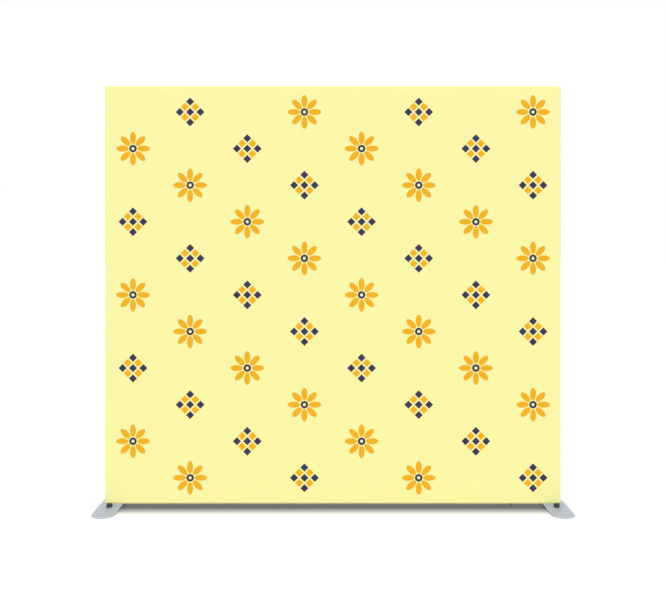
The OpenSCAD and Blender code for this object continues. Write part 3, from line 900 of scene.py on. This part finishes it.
# ---------------------------------------------------------------- the springs of the snap buttons
def leaf_springs():
    """Parts the frame's one piece of springs into one piece for each snap button, named after that
    button's joint."""
    first = merged_copy("button_springs", "spring")
    pick_all(first)
    bpy.ops.mesh.separate(type="LOOSE")
    done(first)
    loose = list(bpy.context.selected_objects)
    for joint in frame["record"]["behaviour"]["joints"]:
        if not joint["name"].startswith("snap_"):
            continue
        button = sum(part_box(joint["child"]), Vector()) / 2

        def distance(spring):
            return min((corner.co - button).length for corner in spring.data.vertices)

        spring = min(loose, key=distance)
        loose.remove(spring)
        spring.name = spring.data.name = joint["name"].replace("snap_", "leaf_spring_")
        smooth(eased(spring, 0.15 * MM))
        fitted(spring, "wall", "spring_steel", "button_springs")
        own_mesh(spring)


leaf_springs()


# ---------------------------------------------------------------- the feet
def foot_plate(name, low, high):
    """A flat plate with rounded ends: a disc drawn out, its sides cut straight."""
    centre = (low + high) / 2
    size = high - low
    plate = rod(name, FOOT_END_R, size.z, centre, 160)
    stretch = size.y / 2 - FOOT_END_R
    for way in (-1, 1):
        pick(plate, lambda corner: (corner.co.y - centre.y) * way > 0.01 * MM, "VERT")
        bpy.ops.transform.translate(value=(0, stretch * way, 0))
        done(plate)
    for way in (-1, 1):
        beside = (centre.x + way * size.x / 2, 0, 0)
        split(plate, beside, (way, 0, 0), use_fill=True, clear_outer=True)
    return plate


def drilled(plate, x, underside):
    """Cuts the bolt's hole and its countersink, which starts a little below the plate so that no
    skin is left over it."""
    middle = underside + COUNTERSINK_DEPTH / 2 - 0.05 * MM
    bpy.ops.mesh.primitive_cone_add(
        vertices=64, radius1=COUNTERSINK_R, radius2=BOLT_HOLE_R, depth=COUNTERSINK_DEPTH,
        location=(x, 0, middle),
    )
    countersink = settled(added("countersink"))
    hole = rod("bolt_hole", BOLT_HOLE_R, 20 * MM, (x, 0, underside), 64)
    return cut(cut(plate, hole), countersink)


def foot_pad(x, y, height):
    pad = rod("pad", PAD_R, height, (x, y, height / 2), 40)
    return sunk(pad, lambda face: face.normal.z < -0.9, PAD_BORDER, PAD_STEP, PAD_SUNK)


for word in ("left", "right"):
    body = "foot_" + word
    plate_low, plate_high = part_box("foot_plate_" + word)
    plate = foot_plate("foot_base_" + word, plate_low, plate_high)
    drilled(plate, (plate_low.x + plate_high.x) / 2, plate_low.z)
    smooth(eased(plate, 1.0 * MM, 3, 50))
    fitted(plate, body, "silver_powder_coat", "foot_plate_" + word)

    pad_low, pad_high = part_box("foot_pads_" + word)
    pads = [
        foot_pad(x, y, pad_high.z)
        for x in (pad_low.x + PAD_R, pad_high.x - PAD_R)
        for y in (pad_low.y + PAD_R, pad_high.y - PAD_R)
    ]
    pads = smooth(eased(joined("foot_pads_set_" + word, pads), 0.4 * MM, 2, 50))
    fitted(pads, body, "pad_rubber", "foot_pads_" + word)

    spacer = worked_copy("foot_spacer_" + word, "foot_spacer_body_" + word, 0.8 * MM, 3)
    fitted(spacer, body, "spacer_black", "foot_spacer_" + word)
    screw = worked_copy("foot_bolt_" + word, "foot_screw_" + word, 0.25 * MM)
    fitted(screw, "wall", "zinc_steel", "foot_bolt_" + word)


# ---------------------------------------------------------------- studio
FLOOR_TONE = 0.80
FLOOR_GLOW = (0.42, 0.42, 0.49)          # cool, to even out the yellow that the cloth throws on it
WALL_REACH = 0.122                       # how far round the wall the floor is painted with shadow under it
FOOT_REACH = 0.022                       # the same for the painted shadow round the feet, which are nearer to the floor
PAINTED_SHADOW_LEAN = math.radians(20)          # tilt of the painted shadow's reach; the lamps stand in front, so the floor is painted darker behind the wall
# how steeply the painted shadow under the wall deepens
PAINTED_SHADOW_DEPTH = 4.2
AMBIENT = 0.82                           # strength of the light from all round
EYE = (0, -3.8, 1.470)
FOCAL_LENGTH, SENSOR_WIDTH = 37.40, 36   # in mm
LENS_SHIFT = -0.095                      # downwards, in sensor widths
FLOOR_SIZE = 80


def studio_floor():
    """A pale floor that keeps the lamps' shadows and, seen by the camera, has a painted shadow
    under the wall and round the feet; it shows plain white where it is open.
    """
    bpy.ops.mesh.primitive_plane_add(size=FLOOR_SIZE, location=(0, 0, 0))
    floor = added("studio floor")
    paint = Finish("studio floor")
    paint.tree.nodes.remove(paint.shader)
    lean = paint.node("CombineXYZ")
    for socket, value in zip(lean.inputs, (0, -math.sin(PAINTED_SHADOW_LEAN), math.cos(PAINTED_SHADOW_LEAN))):
        socket.default_value = value
    clear = []
    for reach in (WALL_REACH, FOOT_REACH):
        nearby = paint.node("AmbientOcclusion", samples=16)
        nearby.inputs["Distance"].default_value = reach
        paint.feed(nearby.inputs["Normal"], lean.outputs[0])
        clear.append(nearby.outputs["AO"])
    near_wall, near_feet = clear
    seen = paint.seen()
    # painted shadow: near the wall and the feet, found by ambient occlusion, the floor that the
    # camera sees is coloured darker and its glow dimmed
    of_wall = paint.math("DIVIDE", near_wall, paint.math("MAXIMUM", near_feet, 0.05), clamp=True)
    unshaded_share = paint.times(paint.math("POWER", of_wall, PAINTED_SHADOW_DEPTH), near_feet)
    painted_shade = paint.times(seen, paint.math("SUBTRACT", 1.0, unshaded_share))
    matt = paint.node("BsdfDiffuse")
    paint.feed(matt.inputs["Color"], paint.mix(painted_shade, (FLOOR_TONE,) * 3, (0, 0, 0)))
    glow = paint.node("Emission")
    glow.inputs["Color"].default_value = (*FLOOR_GLOW, 1)
    paint.feed(glow.inputs["Strength"], paint.times(seen, unshaded_share))
    both = paint.node("AddShader")
    paint.feed(both.inputs[0], matt.outputs[0])
    paint.feed(both.inputs[1], glow.outputs[0])
    paint.feed(paint.tree.nodes["Material Output"].inputs["Surface"], both.outputs[0])
    floor.data.materials.append(paint.material)


def studio_world():
    """Plain white to the camera, and a softer white light on the scene."""
    world = bpy.data.worlds.new("studio")
    bpy.context.scene.world = world
    world.use_nodes = True
    sky = Nodes(world.node_tree)
    soft, white = sky.tree.nodes["Background"], sky.node("Background")
    for light, strength in ((soft, AMBIENT), (white, 1)):
        light.inputs["Color"].default_value = (1, 1, 1, 1)
        light.inputs["Strength"].default_value = strength
    choose = sky.node("MixShader")
    for socket, output in zip(choose.inputs, (sky.seen(), soft.outputs[0], white.outputs[0])):
        sky.feed(socket, output)
    sky.feed(sky.tree.nodes["World Output"].inputs["Surface"], choose.outputs[0])


def sun(name, irradiance, softness, azimuth, elevation):
    """A soft lamp far away; azimuth 0 shines from the front, 180 from the back."""
    lamp = bpy.data.lights.new(name, "SUN")
    lamp.energy = irradiance
    lamp.angle = math.radians(softness)
    holder = bpy.data.objects.new(name, lamp)
    bpy.context.scene.collection.objects.link(holder)
    a, e = math.radians(azimuth), math.radians(elevation)
    to_lamp = Vector((math.sin(a) * math.cos(e), -math.cos(a) * math.cos(e), math.sin(e)))
    holder.rotation_euler = (-to_lamp).to_track_quat("-Z", "Y").to_euler()


def studio_camera():
    """Level and square to the wall, above its middle, with the lens shifted down to frame it."""
    lens = bpy.data.cameras.new("camera")
    lens.lens, lens.sensor_width = FOCAL_LENGTH, SENSOR_WIDTH
    lens.shift_y = LENS_SHIFT
    lens.clip_start, lens.clip_end = 0.05, 200
    camera = bpy.data.objects.new("camera", lens)
    camera.location = EYE
    camera.rotation_euler = (math.radians(90), 0, 0)
    bpy.context.scene.collection.objects.link(camera)
    bpy.context.scene.camera = camera


studio_floor()
studio_world()
sun("left key light", 0.555, 25, -45, 35)
sun("right key light", 0.555, 25, 45, 35)
sun("back light", 0.40, 18, 180, 12)
studio_camera()
bpy.context.scene.view_settings.view_transform = "Standard"
